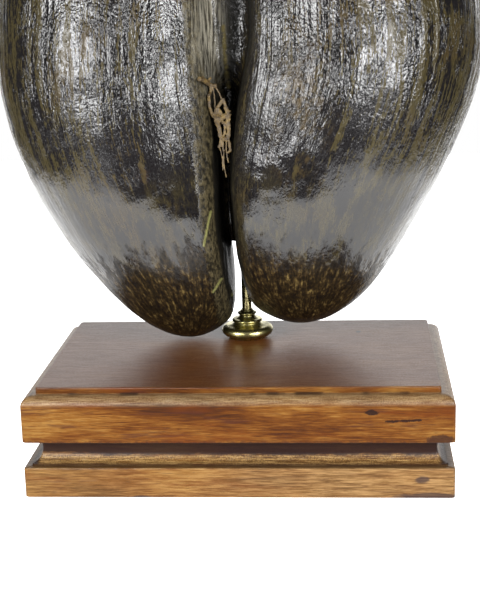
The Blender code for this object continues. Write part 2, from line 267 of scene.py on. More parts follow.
def board_from_levels(name, levels):
    """A board squared up from its foot, with its edge worked level by level as (inset, z)."""
    shape = bmesh.new()
    bmesh.ops.create_grid(shape, x_segments=1, y_segments=1, size=0.5)
    top = shape.faces[:]
    for inset, z in levels:
        if (inset, z) != levels[0]:
            grown = bmesh.ops.extrude_face_region(shape, geom=top)["geom"]
            bmesh.ops.delete(shape, geom=top, context="FACES_ONLY")
            top = [g for g in grown if isinstance(g, bmesh.types.BMFace)]
        for vert in {v for face in top for v in face.verts}:
            vert.co.x = math.copysign(BOARD_WIDTH / 2 - inset, vert.co.x)
            vert.co.y = math.copysign(BOARD_DEPTH / 2 - inset, vert.co.y)
            vert.co.z = z
    foot = [e for e in shape.edges if len(e.link_faces) == 1]
    bmesh.ops.contextual_create(shape, geom=foot)
    upright = []
    for edge in shape.edges:
        a, b = (v.co for v in edge.verts)
        if a.x * b.x > 0 and a.y * b.y > 0:
            upright.append(edge)
    bmesh.ops.bevel(
        shape,
        geom=upright,
        offset=CORNER_ROUND,
        offset_type="OFFSET",
        affect="EDGES",
        segments=4,
        profile=0.5,
        material=-1,
        clamp_overlap=True,
    )
    bmesh.ops.remove_doubles(shape, verts=shape.verts[:], dist=1e-6)
    bmesh.ops.recalc_face_normals(shape, faces=shape.faces[:])
    return piece_from(shape, name)


def piece_from(shape, name, smooth_below=35):
    """The bmesh as a shown piece: smooth where it curves, flat on wide faces and sharp at edges."""
    for face in shape.faces:
        face.smooth = face.calc_area() < WIDE_FACE_AREA
    for edge in shape.edges:
        edge.smooth = edge.calc_face_angle(0) < math.radians(smooth_below)
    mesh = bpy.data.meshes.new(name)
    shape.to_mesh(mesh)
    shape.free()
    piece = bpy.data.objects.new(name, mesh)
    bpy.context.scene.collection.objects.link(piece)
    return piece


def quarter_round(inset, z, reach, rise, start, steps):
    """The edge's section round a quarter turn about (inset, z), without its first point."""
    turns = [math.radians(start + 90 * i / steps) for i in range(1, steps + 1)]
    return [(inset - reach * math.cos(t), z + rise * math.sin(t)) for t in turns]


cove_drop = COVE_DEEPEST_Z - COVE_FOOT
cove_rise = BASE_BOARD_TOP - COVE_DEEPEST_Z
base_levels = [
    (ARRIS, JUST_INSIDE),
    (ARRIS_MIDDLE, ARRIS_MIDDLE),
    (JUST_INSIDE, ARRIS),
    (JUST_INSIDE, BASE_FACE_TOP - ARRIS),
    (ARRIS_MIDDLE, BASE_FACE_TOP - ARRIS_MIDDLE),
    (ARRIS, BASE_FACE_TOP),
    (LEDGE_DEPTH, BASE_FACE_TOP + ARRIS_MIDDLE),
    (LEDGE_DEPTH, COVE_FOOT),
    *quarter_round(LEDGE_DEPTH, COVE_DEEPEST_Z, LEDGE_DEPTH - COVE_DEEPEST, cove_drop, -90, 14),
    *quarter_round(COVE_LIP, COVE_DEEPEST_Z, COVE_LIP - COVE_DEEPEST, cove_rise, 0, 12),
]
base_piece = board_from_levels("plinth_base", base_levels)

top_levels = [
    (ARRIS, TOP_BOARD_BOTTOM),
    (ARRIS_MIDDLE, TOP_BOARD_BOTTOM + ARRIS_MIDDLE),
    (JUST_INSIDE, TOP_BOARD_BOTTOM + ARRIS),
    (JUST_INSIDE, TOP_FACE_TOP),
    *quarter_round(OVOLO_REACH, TOP_FACE_TOP, OVOLO_REACH, PANEL_FOOT - TOP_FACE_TOP, 0, 16),
    (PANEL_INSET, PANEL_FOOT + FILLET_RISE),
    (PANEL_INSET, PLINTH_TOP - ARRIS),
    (PANEL_INSET + ARRIS_MIDDLE, PLINTH_TOP - ARRIS_MIDDLE),
    (PANEL_INSET + ARRIS, PLINTH_TOP),
]
top_piece = board_from_levels("plinth_top", top_levels)

# The upper board's panel is amber, its quarter round carries a painted sandy sheen, and its front has a
# knot.
wood, colour, _, grain, pores = varnished_hardwood("top_board_wood", -0.16, 3.1)
place = wood.place()
y, z = wood.apart(place)[1:]
upward = wood.apart(wood.node("ShaderNodeTexCoord", out="Normal"))[2]
flat = wood.rise(upward, 0.80, 0.97)
ragged = wood.noise(place, 420, 3, 0.7)
sparkle = wood.noise(place, 1500, 3, 0.75)
amber = wood.mix(grain, (0.030, 0.008, 0.001), (0.125, 0.040, 0.004))
colour = wood.mix(flat * 0.7, colour, amber)
# Painted sheen: the quarter round is painted lighter and sandy, with flecks, where its varnish faces up and
# out into the lights.
rounded = wood.rise(z, 0.0528, 0.0568) * wood.rise(z, 0.0592, 0.0586)
sheen_flecks = wood.rise(sparkle * 0.5 + grain * 0.5, 0.40, 0.62)
painted_sheen = wood.mix(sheen_flecks, (0.075, 0.038, 0.011), (0.290, 0.210, 0.110))
colour = wood.mix(rounded * 0.6, colour, painted_sheen)
knot = wood.near(place, (0.0745, FRONT_Y, 0.0500), (0.0080, 0.01, 0.0032))
streak = wood.near_line(place, (0.082, FRONT_Y, 0.0447), (0.101, FRONT_Y, 0.0455), 0.0019)
dot = wood.near(place, (0.068, 0.0420, PLINTH_TOP), (0.0035, 0.0050, 0.004))
marks = wood.rise(knot + streak * 0.7 + dot * 0.9 + (ragged - 0.5) * 0.9, 0.42, 0.62)
colour = wood.mix(marks * 0.92, colour, (0.009, 0.004, 0.003))
# Painted shade: a broken dark line at the foot of the panel's step, in the corner between the step and the
# quarter round.
step_corner_shade = wood.rise((z - 0.0590).size() * 1000, 0.9, 0.1) * wood.rise(y, -0.066, -0.069)
broken = wood.rise(wood.noise(wood.stretch(place, (40, 1, 1)), 1.0, 3, 0.7), 0.48, 0.60)
colour = wood.mix(step_corner_shade * broken * 0.85, colour, (0.012, 0.005, 0.003))
burnt = wood.near(place, (0.112, FRONT_Y, 0.0340), (0.014, 0.02, 0.0055))
colour = wood.mix(wood.rise(burnt + (ragged - 0.5) * 0.8, 0.30, 0.60) * 0.8, colour, (0.016, 0.006, 0.004))
lower_edge = wood.rise((z - 0.0325).size() * 1000, 2.4, 0.3) * wood.rise(ragged, 0.40, 0.60)
colour = wood.mix(lower_edge * 0.6, colour, (0.030, 0.010, 0.005))
glossy = flat.most(rounded * 0.8).most(wood.rise(upward, 0.15, 0.60) * 0.8)
top_piece.data.materials.append(varnish_over(wood, colour, grain, pores, glossy))

# The lower board's slab is paler to the right, its hollow is nearly black, and the lip between them
# carries a painted gold highlight.
wood, colour, figure, grain, pores = varnished_hardwood("base_board_wood", -0.10, 7.7)
place = wood.place()
x, _, z = wood.apart(place)
upward = wood.apart(wood.node("ShaderNodeTexCoord", out="Normal"))[2]
ragged = wood.noise(wood.stretch(place, (120, 420, 420)), 1.0, 3, 0.7)
sparkle = wood.noise(place, 1300, 3, 0.75)
# Painted highlight: the lip and the foot of the hollow are painted gold and flecked, where they face up
# into the lights.
sheen_flecks = wood.rise(figure * 0.6 + grain * 0.4, 0.34, 0.56, 0.15, 1.0)
lip = wood.rise((z - 0.0202).size() * 1000, 3.6, 1.4) * sheen_flecks
flecked = wood.rise(sparkle * 0.6 + grain * 0.4, 0.42, 0.62)
painted_lip_highlight = wood.mix(flecked, (0.045, 0.020, 0.004), (0.300, 0.190, 0.070))
colour = wood.mix(lip * 0.8, colour, painted_lip_highlight)
paler_rightward = wood.rise(x, -0.080, 0.090, 0.25, 0.75) * wood.rise(z, 0.0182, 0.0176)
pale_tone = wood.mix(wood.rise(grain, 0.35, 0.65), (0.105, 0.056, 0.018), (0.225, 0.138, 0.058))
colour = wood.mix(paler_rightward * wood.rise(figure, 0.36, 0.56, 0.5, 1.0), colour, pale_tone)
hollow_foot = 0.0222 + wood.rise(x, -0.070, -0.100, 0.0, 0.0016)
in_hollow = wood.rise(z - hollow_foot + (ragged - 0.5) * 0.004, -0.0008, 0.0010)
colour = wood.mix(in_hollow * 0.93, colour, (0.011, 0.005, 0.004))
at_end = wood.rise(x.size(), 0.1105, 0.1135) * wood.rise(z, 0.0180, 0.0186)
colour = wood.mix(at_end * 0.9, colour, (0.010, 0.005, 0.005))
under_edge = wood.rise((z - 0.0182).size() * 1000, 0.9, 0.3)
colour = wood.mix(under_edge * 0.8, colour, (0.012, 0.005, 0.003))
stains = wood.near(place, (0.106, FRONT_Y, 0.0010), (0.034, 0.02, 0.0045))
stains = stains + wood.near(place, (-0.054, FRONT_Y, 0.0), (0.010, 0.02, 0.0026))
stains = stains + wood.near(place, (0.102, FRONT_Y, 0.0110), (0.008, 0.02, 0.0050)) * 0.8
colour = wood.mix(wood.rise(stains + (ragged - 0.5) * 0.7, 0.30, 0.65) * 0.8, colour, (0.022, 0.014, 0.014))
glossy = wood.rise(upward.size(), 0.20, 0.65) * 0.8
base_piece.data.materials.append(varnish_over(wood, colour, grain, pores, glossy))

for piece, node in ((base_piece, "base_board"), (top_piece, "top_board")):
    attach(piece, "root")
    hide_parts(node)

# The brass: a 6 mm rod up through the plinth into the nut, held below by a washer and a locknut,
# and a collar turned from bar with a bead, a small ring and a neck, gone olive with age.

ROD_X = -0.0005
ROD_Y = 0.0326
ROD_RADIUS = 0.0030
ROD_BOTTOM = 0.0012
ROD_TOP = 0.1780
ROD_CHAMFER = 0.0004
BORE_RADIUS = 0.0033
COLLAR_BOTTOM = 0.0626
COLLAR_TOP = 0.0800
TURNED_STEPS = 96
HOLLOW_STEPS = 12


def aged_brass(name, colour_low, colour_high, roughness):
    brass = Finish(name)
    place = brass.place()
    turned = brass.noise(brass.stretch(place, (60, 60, 2600)), 1.0, 2, 0.5)
    tarnish = brass.noise(place, 210, 4, 0.6)
    colour = brass.mix(brass.rise(tarnish, 0.32, 0.68), colour_low, colour_high)
    return brass.shade(
        Base_Color=colour,
        Metallic=1.0,
        Roughness=brass.rise(tarnish, 0.30, 0.70, roughness + 0.16, roughness),
        Normal=brass.relief(turned * 0.6 + tarnish * 0.4, 0.00005, 0.6),
    )


def turned_piece(name, section):
    """A ring turned on the lathe from its closed section of (radius, z) points."""
    shape = bmesh.new()
    line = [shape.verts.new((ROD_X + r, ROD_Y, z)) for r, z in section]
    edges = [shape.edges.new(pair) for pair in zip(line, line[1:] + line[:1])]
    bmesh.ops.spin(
        shape,
        geom=line + edges,
        cent=(ROD_X, ROD_Y, 0),
        axis=(0, 0, 1),
        angle=2 * math.pi,
        steps=TURNED_STEPS,
        use_merge=True,
    )
    bmesh.ops.remove_doubles(shape, verts=shape.verts[:], dist=1e-7)
    bmesh.ops.recalc_face_normals(shape, faces=shape.faces[:])
    return piece_from(shape, name, 42)


def bead(radius, middle_z, bulge, turned, steps):
    """A bead's section, turned so many degrees below and above its middle."""
    turns = [math.radians(turned * (2 * i / steps - 1)) for i in range(steps + 1)]
    return [(radius + bulge * math.cos(t), middle_z + bulge * math.sin(t)) for t in turns]


def hollow(radius, top_z, reach, drop):
    """A hollow's section between two beads, from its wide foot in to its narrow top."""
    turns = [math.radians(90 * i / HOLLOW_STEPS) for i in range(1, HOLLOW_STEPS)]
    return [(radius + reach * (1 - math.sin(t)), top_z - drop * math.cos(t)) for t in turns]


collar_foot = [(BORE_RADIUS, COLLAR_BOTTOM), (0.0110, COLLAR_BOTTOM), (0.0120, 0.0631), (0.0124, 0.0638)]
collar_head = [(0.0043, 0.0788), (0.0039, 0.0794), (0.0038, COLLAR_TOP), (BORE_RADIUS, COLLAR_TOP)]
collar_section = [
    *collar_foot,
    *bead(0.0128, 0.0672, 0.0030, 82, 22),
    *hollow(0.0082, 0.0724, 0.0046, 0.0022),
    *bead(0.0085, 0.0735, 0.0009, 90, 12),
    *hollow(0.0046, 0.0768, 0.0036, 0.0024),
    *bead(0.0050, 0.0778, 0.0008, 90, 10),
    *collar_head,
]
collar_piece = turned_piece("brass_collar", collar_section)
collar_brass = aged_brass("collar_brass", (0.180, 0.163, 0.062), (0.460, 0.415, 0.190), 0.24)
collar_piece.data.materials.append(collar_brass)
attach(collar_piece, "root")
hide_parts("collar")

shape = bmesh.new()
bmesh.ops.create_cone(
    shape,
    cap_ends=True,
    segments=64,
    radius1=ROD_RADIUS,
    radius2=ROD_RADIUS,
    depth=ROD_TOP - ROD_BOTTOM,
    matrix=Matrix.Translation((ROD_X, ROD_Y, (ROD_TOP + ROD_BOTTOM) / 2)),
)
rims = [e for e in shape.edges if abs(e.verts[0].co.z - e.verts[1].co.z) < 1e-6]
bmesh.ops.bevel(
    shape, geom=rims, offset=ROD_CHAMFER, affect="EDGES", segments=2, profile=0.5, material=-1
)
rod_piece = piece_from(shape, "brass_rod")
rod_piece.data.materials.append(aged_brass("rod_brass", (0.20, 0.175, 0.075), (0.50, 0.44, 0.22), 0.20))
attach(rod_piece, "root")
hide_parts("rod")

fixing_brass = aged_brass("fixing_brass", (0.30, 0.23, 0.09), (0.60, 0.48, 0.22), 0.30)
for node in ("rod_washer", "rod_locknut"):
    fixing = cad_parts[node]
    for material_slot in fixing.material_slots:
        material_slot.material = fixing_brass

# The nut grew as one piece: two lobes on their tips, joined by a web that is left low in the
# valley between them and hollow at the pore. Its shell is black-brown, streaked and varnished.

NUT_X = -0.0080
NUT_Y = 0.0375
NUT_Z = 0.0705
NUT_SCALE = 1.036
NUT_LEAN = 8.0
NUT_TURN = Matrix.Rotation(math.radians(-NUT_LEAN), 4, "X") @ Matrix.Scale(NUT_SCALE, 4)
NUT_PLACE = Matrix.Translation((NUT_X, NUT_Y, NUT_Z)) @ NUT_TURN

# Its own sizes are taken upright from its foot, before it is enlarged, leant back and set in place.
TIP_BOW = 0.012
NUT_HEIGHT = 0.302
LOBE_HALF_WIDTH = 0.0822
LOBE_FRONT_DEPTH = 0.082
LOBE_BACK_DEPTH = 0.086
LOBE_WIDE_Z = 0.166
LOBE_TIP_X = 0.0363
LOBE_WIDE_X = 0.0640
LOBE_TOP_X = 0.0600
LEFT_LOBE_SHARE = 0.960
LEFT_TIP_DROP = 0.008
LEFT_TIP_SHIFT = 0.006
RIGHT_TIP_SHIFT = 0.003
CLEFT_SWAY = 0.0015
CLEFT_HALF_GAP = 0.0022
CLEFT_BULGE = 0.25
CLEFT_EDGE = 0.0095
CLEFT_EDGE_TOP = 0.030
FRONT_FLARE = 0.009
BACK_FLARE = 0.007
FLARE_FOOT_Z = 0.098
FLARE_FULL_Z = 0.176
WEB_HALF_WIDTH = 0.050
WEB_HALF_DEPTH = 0.064
WEB_HALF_HEIGHT = 0.106
VALLEY_DEPTH = 0.026
VALLEY_FOOT_Z = 0.165
VALLEY_HEAD_Z = 0.262
PORE_DEPTH = 0.020
PORE_SILL_Z = 0.126
PORE_TOP_Z = 0.156
HEART = np.array([LOBE_WIDE_X, 0.0, LOBE_WIDE_Z])
SKIN_CELLS = 124
SKIN_DEPTH = 0.0011
WARP_SEED = 7


def eased(value, low, high):
    """A smooth step from 0 at low to 1 at high."""
    share = np.clip((value - low) / (high - low), 0, 1)
    return share * share * (3 - 2 * share)


def rounded_max(a, b, radius):
    """The greater of two depths, with the edge where they meet rounded off."""
    overlap = np.clip(radius - np.abs(a - b), 0, None) / radius
    return np.maximum(a, b) + overlap * overlap * radius / 4


def lobe_middle(z):
    """How far out the middle of each lobe is at this height."""
    below = LOBE_TIP_X + (LOBE_WIDE_X - LOBE_TIP_X) * eased(z, 0, LOBE_WIDE_Z)
    return below - (LOBE_WIDE_X - LOBE_TOP_X) * eased(z, LOBE_WIDE_Z, NUT_HEIGHT)


def bow(z):
    """How far forward the tips are bent."""
    return -TIP_BOW * (1 - eased(z, -0.030, 0.200))


def lobe_depth(x, y, z):
    """How far outside the right lobe a point is; less than 0 inside it."""
    y = y - bow(z)
    half_height = np.where(z < LOBE_WIDE_Z, LOBE_WIDE_Z, NUT_HEIGHT - LOBE_WIDE_Z)
    rise = np.abs(z - LOBE_WIDE_Z) / half_height
    half_depth = np.where(y < 0, LOBE_FRONT_DEPTH, LOBE_BACK_DEPTH)
    across = np.hypot((x - lobe_middle(z)) / LOBE_HALF_WIDTH, y / half_depth)
    fullness = np.where(z < LOBE_WIDE_Z, 2.0, 2.25)
    egg = (across**fullness + rise**fullness) ** (1 / fullness)
    flare = np.where(y < 0, FRONT_FLARE, BACK_FLARE) * eased(z, FLARE_FOOT_Z, FLARE_FULL_Z)
    half_gap = CLEFT_HALF_GAP + CLEFT_BULGE * y * y + flare * eased(np.abs(y), 0, 0.05)
    edge_radius = CLEFT_EDGE + (CLEFT_EDGE_TOP - CLEFT_EDGE) * eased(z, 0.190, 0.290)
    return rounded_max((egg - 1) * LOBE_HALF_WIDTH, half_gap - x, edge_radius)


def web_depth(x, y, z):
    """How far outside the web a point is. Its front is sunk for the valley, and more for the pore."""
    y = y - bow(z)
    valley = VALLEY_DEPTH * (1 - eased(z, VALLEY_FOOT_Z, VALLEY_HEAD_Z))
    pore = PORE_DEPTH * (1 - eased(z, PORE_SILL_Z, PORE_TOP_Z))
    half_depth = np.where(y < 0, WEB_HALF_DEPTH - (valley + pore), WEB_HALF_DEPTH)
    rise = (z - LOBE_WIDE_Z) / WEB_HALF_HEIGHT
    reach = np.sqrt((x / WEB_HALF_WIDTH) ** 2 + (y / half_depth) ** 2 + rise**2)
    return (reach - 1) * half_depth


def nut_depth(points):
    """How far outside the whole nut each point is."""
    x, y, z = np.abs(points[:, 0]), points[:, 1], points[:, 2]
    blend = 0.007 + 0.030 * eased(z, 0.200, 0.285)
    return -rounded_max(-lobe_depth(x, y, z), -web_depth(x, y, z), blend)


def skin_along(start, ways, furthest):
    """Where each way out from the start meets the skin, found by halving."""
    inside, outside = np.zeros(len(ways)), np.array(furthest)
    for _ in range(20):
        middle = (inside + outside) / 2
        out = nut_depth(start + ways * middle[:, None]) > 0
        outside = np.where(out, middle, outside)
        inside = np.where(out, inside, middle)
    return start + ways * inside[:, None]


def laid_on_nut(ball):
    """The points of a unit ball moved out to the nut's skin, each half from its lobe's heart."""
    side = np.where(ball[:, 0] < 0, -1.0, 1.0)
    turn = np.arctan2(ball[:, 1], ball[:, 2])
    share = np.arccos(np.clip(np.abs(ball[:, 0]), 0, 1)) / (math.pi / 2)
    rim_way = np.stack([0 * turn, np.sin(turn), np.cos(turn)], axis=1)
    rim = skin_along(np.array([0, 0, LOBE_WIDE_Z]), rim_way, np.full(len(ball), 0.2))
    last = rim - HEART
    last /= np.linalg.norm(last, axis=1)[:, None]
    across = last - last[:, :1] * np.array([1.0, 0, 0])
    across /= np.linalg.norm(across, axis=1)[:, None]
    angle = np.arccos(np.clip(last[:, 0], -1, 1)) * share
    ways = np.cos(angle)[:, None] * np.array([1.0, 0, 0]) + np.sin(angle)[:, None] * across
    to_plane = np.where(ways[:, 0] < -1e-6, HEART[0] / np.maximum(-ways[:, 0], 1e-6), 0.3)
    laid = skin_along(HEART, ways, np.minimum(to_plane, 0.3))
    return np.where((share > 1 - 1e-6)[:, None], rim, laid), side


shape = bmesh.new()
bmesh.ops.create_cube(shape, size=2)
bmesh.ops.subdivide_edges(shape, edges=shape.edges[:], cuts=SKIN_CELLS - 1, use_grid_fill=True)
ball = np.tan(np.array([v.co for v in shape.verts]) * math.pi / 4 * 0.999)
ball /= np.linalg.norm(ball, axis=1)[:, None]
skin, side = laid_on_nut(ball)

# The grain runs from the top to each tip, round the lobe's middle line.
middle = lobe_middle(skin[:, 2])
high = np.where(skin[:, 2] < LOBE_WIDE_Z, LOBE_WIDE_Z, NUT_HEIGHT - LOBE_WIDE_Z)
dx, dy = (skin[:, 0] - middle) / LOBE_HALF_WIDTH, (skin[:, 1] - bow(skin[:, 2])) / 0.084
around = np.arctan2(dy, dx)
along = np.arctan2((skin[:, 2] - LOBE_WIDE_Z) / high, np.hypot(dx, dy)) * 0.16
grain_way = np.stack([0.08 * np.cos(around), 0.08 * np.sin(around), along], axis=1)
web_share = eased(lobe_depth(*skin.T) - web_depth(*skin.T), -0.002, 0.006)

# The left lobe is the narrower, its tip is the lower, both tips are bent to the right, and the slit
# between them sways.
left = side < 0
skin[:, 0] *= side * np.where(left, LEFT_LOBE_SHARE, 1)
low = np.clip(1 - skin[:, 2] / 0.110, 0, 1)
skin[:, 2] -= np.where(left, LEFT_TIP_DROP, 0) * low**1.5
tip_shift = np.where(left, LEFT_TIP_SHIFT, RIGHT_TIP_SHIFT)
skin[:, 0] += tip_shift * (1 - eased(skin[:, 2], -0.012, 0.060))
skin[:, 0] += CLEFT_SWAY * np.cos(2 * math.pi * skin[:, 2] / 0.170)

for vert, point in zip(shape.verts, skin):
    vert.co = point
bmesh.ops.recalc_face_normals(shape, faces=shape.faces[:])
nut_surface = BVHTree.FromBMesh(shape)
shape.normal_update()
normals = np.array([v.normal for v in shape.verts])
inner = eased(-normals[:, 0] * side, 0.66, 0.96) * eased(0.045 - np.abs(skin[:, 0]), 0, 0.020)
cleft = np.clip(np.maximum(inner, web_share), 0, 1)
inward = -normals[:, 0] * side * eased(0.045 - np.abs(skin[:, 0]), 0, 0.020)
crest = eased(inward, 0.45, 0.72) * (1 - eased(inward, 0.90, 0.99)) * (1 - web_share)

# The skin is let in by about a millimetre, so that its flutes, ridges and lumps stay in the solid.
# A set seed gives the same warps in every run.
noise.seed_set(WARP_SEED)
warp = np.array([noise.noise_vector(Vector(p) * 14) for p in skin])
grain_way += warp * 0.005
upper = eased(skin[:, 2], 0.050, 0.150)
for vert, point, way, lie, high_up in zip(shape.verts, skin, grain_way, normals, upper):
    flutes = noise.noise(Vector((way[0] * 55, way[1] * 55, way[2] * 5 + 3)))
    ridges = noise.noise(Vector((way[0] * 190, way[1] * 190, way[2] * 16)))
    lumps = noise.noise(Vector(point) * 120)
    swell = noise.noise(Vector(point) * 42)
    along_grain = (0.0006 * flutes + 0.0004 * ridges) * (0.3 + 0.7 * high_up)
    depth = SKIN_DEPTH + 0.0007 * swell + 0.00018 * lumps + along_grain
    vert.co = Vector(point) - Vector(lie) * max(depth, 0.0)
shape.transform(NUT_PLACE)
nut_piece = piece_from(shape, "nut_skin", 180)
for name, kind, values in (
    ("grain", "FLOAT_VECTOR", grain_way),
    ("cleft", "FLOAT", cleft),
    ("crest", "FLOAT", crest),
    ("height", "FLOAT", skin[:, 2]),
    ("spot", "FLOAT_VECTOR", skin),
    ("outward", "FLOAT", dx),
):
    carried = nut_piece.data.attributes.new(name, kind, "POINT")
    channel = "vector" if kind == "FLOAT_VECTOR" else "value"
    carried.data.foreach_set(channel, values.astype(np.float32).ravel())

# The shell is black, with tan and olive streaks down the grain that gather towards the sides.
shell = Finish("nut_shell")
place = shell.place()
grain = shell.carried("grain")
spot = shell.carried("spot")
cleft = shell.carried("cleft", "Fac")
height = shell.carried("height", "Fac")
outward = shell.carried("outward", "Fac")
across, forward = shell.apart(spot)[:2]
broad = shell.noise(shell.stretch(grain, (190, 190, 17)), 1.0, 2, 0.5, warp=0.4)
narrow = shell.noise(shell.stretch(grain, (430, 430, 42)), 1.0, 3, 0.6, warp=0.5)
fine = shell.noise(shell.stretch(grain, (1100, 1100, 260)), 1.0, 3, 0.65)
patches = shell.noise(place, 22, 3, 0.55)
speckle = shell.noise(place, 1300, 3, 0.7)
mottle = shell.noise(shell.stretch(grain, (330, 330, 260)), 1.0, 4, 0.68)
streaks = broad * 0.5 + narrow * 0.5
side_share = shell.rise(outward, -0.25, 0.60, -0.060, 0.026)
ragged = (patches - 0.5) * 0.16 + (fine - 0.5) * 0.42 + (mottle - 0.5) * 0.16
tan = shell.rise(streaks + side_share + ragged, 0.490, 0.560)
broad_blots = shell.noise(shell.stretch(grain, (120, 120, 55)), 1.0, 4, 0.6)
blotches = shell.rise(broad_blots + (fine - 0.5) * 0.3, 0.44, 0.60)
down = shell.rise(height + (patches - 0.5) * 0.04, 0.100, 0.070)
tan = shell.mix(down * 0.75, tan, blotches * 0.8)
olive = shell.mix(fine, (0.003, 0.002, 0.002), (0.054, 0.043, 0.016))
olive = shell.mix(shell.rise(patches, 0.5, 0.7) * 0.5, olive, (0.030, 0.018, 0.007))
black = shell.mix(speckle, (0.0025, 0.002, 0.0025), (0.008, 0.007, 0.007))
colour = shell.mix(tan, black, olive)
rusty = shell.near(spot, (0.043, -0.070, 0.125), (0.026, 0.060, 0.070))
rust_tone = shell.mix(shell.rise(mottle, 0.40, 0.62), (0.005, 0.004, 0.003), (0.040, 0.027, 0.011))
colour = shell.mix(rusty * shell.rise(broad_blots, 0.40, 0.56), colour, rust_tone)
grey_down = shell.near(spot, (-0.062, -0.075, 0.160), (0.024, 0.060, 0.060))

# The tips are duller and brown, with rusty and golden mottles; the inner faces of the cleft are painted
# near-black as shade, and the left edge is fibrous.
clumps = shell.noise(shell.stretch(grain, (170, 170, 100)), 1.0, 4, 0.62)
tips = shell.rise(height + (clumps - 0.5) * 0.060 + outward * 0.012, 0.052, 0.036)
brown = shell.ramp(
    mottle * 0.35 + clumps * 0.45 + narrow * 0.20,
    (0.40, (0.003, 0.002, 0.0015)),
    (0.49, (0.008, 0.005, 0.002)),
    (0.55, (0.028, 0.017, 0.006)),
    (0.62, (0.110, 0.076, 0.026)),
)
colour = shell.mix(tips * 0.9, colour, brown)
front = shell.rise(forward, 0.004, -0.006)
on_left = shell.rise(across, 0.006, -0.002, 0.15, 1.0)
fibrous = shell.rise(shell.carried("crest", "Fac") + (mottle - 0.5) * 0.5, 0.15, 0.60) * on_left
bark = shell.mix(shell.rise(mottle, 0.38, 0.64), (0.006, 0.005, 0.003), (0.060, 0.048, 0.024))
# Painted shade: the deep inner faces of the cleft are painted near-black.
cleft_shade = shell.mix(fine, (0.002, 0.002, 0.002), (0.009, 0.008, 0.006))
shaded_cleft = shell.rise(cleft + (mottle - 0.5) * 0.3, 0.60, 0.95)
colour = shell.mix(shaded_cleft * 0.94, colour, cleft_shade)
colour = shell.mix(fibrous * 0.85, colour, bark)
# The valley floor is grey with hanging fibres, and painted lighter still as painted light, for the light
# that its recess does not get.
valley = shell.near(spot, (-0.0115, -0.030, 0.170), (0.0165, 0.060, 0.060))
hanging = shell.noise(shell.stretch(spot, (900, 300, 60)), 1.0, 3, 0.6)
valley_grey_and_light = shell.mix(shell.rise(hanging, 0.35, 0.65), (0.030, 0.026, 0.018), (0.400, 0.370, 0.290))
colour = shell.mix(valley * 0.9, colour, valley_grey_and_light)
level_spot = shell.stretch(spot, (1, 0, 1))
rib = shell.near_line(level_spot, (-0.0012, 0, 0.172), (0.0003, 0, 0.138), 0.0018)
colour = shell.mix(rib * front * shell.rise(mottle, 0.35, 0.55), colour, (0.120, 0.095, 0.030))
for start, end, reach in (
    ((-0.0072, 0, 0.0690), (-0.0118, 0, 0.0500), 0.0011),
    ((-0.0030, 0, 0.0300), (-0.0082, 0, 0.0225), 0.0011),
    ((0.0040, 0, 0.0250), (0.0010, 0, 0.0185), 0.0010),
):
    scratch = shell.near_line(level_spot, start, end, reach)
    colour = shell.mix(scratch * front * shell.rise(fine, 0.3, 0.5), colour, (0.135, 0.130, 0.045))
flake = shell.near(level_spot, (0.0022, 0, 0.0475), (0.0022, 0.01, 0.0015))
colour = shell.mix(flake * front, colour, (0.260, 0.105, 0.018))
worn = shell.near(spot, (-0.0425, -0.0783, 0.0895), (0.010, 0.02, 0.012))
worn_share = shell.rise(worn * 0.5 + (mottle - 0.5) * 1.4, 0.30, 0.80) * 0.5
colour = shell.mix(worn_share, colour, (0.030, 0.016, 0.009))

# Ridges run with the grain, and between them the varnished skin is crackled in patches. The gloss is
# gone from the tips, the cleft, the valley and the tan streaks, and low in the dark middle band.
ridges = shell.noise(shell.stretch(grain, (150, 150, 8)), 1.0, 1, 0.4, warp=0.3)
threads = shell.noise(shell.stretch(grain, (360, 360, 16)), 1.0, 2, 0.5, warp=0.4)
creases = shell.noise(shell.stretch(grain, (520, 520, 300)), 1.0, 2, 0.5, warp=1.4)
pebbles = shell.node(
    "ShaderNodeTexVoronoi",
    {"feature": "SMOOTH_F1"},
    {"Vector": shell.stretch(grain, (440, 440, 300)), "Scale": 1.0, "Smoothness": 0.35},
    out="Distance",
)
flaky = shell.noise(place, 48, 3, 0.6)
crackled = shell.rise(flaky, 0.46, 0.60, 0.30, 1.2)
grit = shell.noise(place, 620, 2, 0.6)
folds = shell.near(spot, (0.0230, -0.060, 0.160), (0.0200, 0.050, 0.060))
upper = shell.rise(height + (patches - 0.5) * 0.06, 0.080, 0.125, 0.10, 1.0)
upper = upper.most(shell.rise(outward, 0.25, 0.80, 0.0, 0.45))
relief = ridges * 0.0009 + threads * (folds * 0.0009 + 0.0005) + grit * 0.00040
relief = (relief + (creases * 0.0007 - pebbles * 0.0003) * crackled) * upper
relief = relief + fine * 0.00006 + mottle * (tips * 0.0004 + fibrous * 0.0006)
gloss = shell.rise(speckle, 0.40, 0.80, 0.07, 0.16)
surface = shell.relief(relief, 1.0)
sunk = shell.rise(fine * 0.5 + speckle * 0.5, 0.38, 0.60, 0.15, 0.90)
dull = (tips * 0.7 + fibrous * 0.75).most(shaded_cleft * 0.8).most(valley).most(tan * upper * sunk)
band_height = height + (patches - 0.5) * 0.05
dark_band = shell.rise(band_height, 0.080, 0.096) * shell.rise(band_height, 0.136, 0.112)
dull = dull.most((rusty * 0.95 + grey_down * 0.6).most(dark_band * 0.9) * sunk).least(1.0)
shell.shade(Base_Color=colour, Roughness=gloss, IOR=1.52, Normal=surface)
nut_piece.data.materials.append(
    shell.dulled(dull, Base_Color=colour, Roughness=0.5, IOR=1.16, Normal=surface)
)
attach(nut_piece, "root")
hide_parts("nut")

# The tuft is what dried in the pore: a few strands across its mouth, a ragged net that hangs from
# them and loose threads below it. They grew there, and lie against the left lobe's edge.

NET_Y = -0.058
THREAD = 0.0012
RUN_STEPS = 12
WANDER = 0.0003
CLEAR_OF_SKIN = 0.0004
FUSED_CELL = 0.00022
IN_FRONT_Y = -0.2


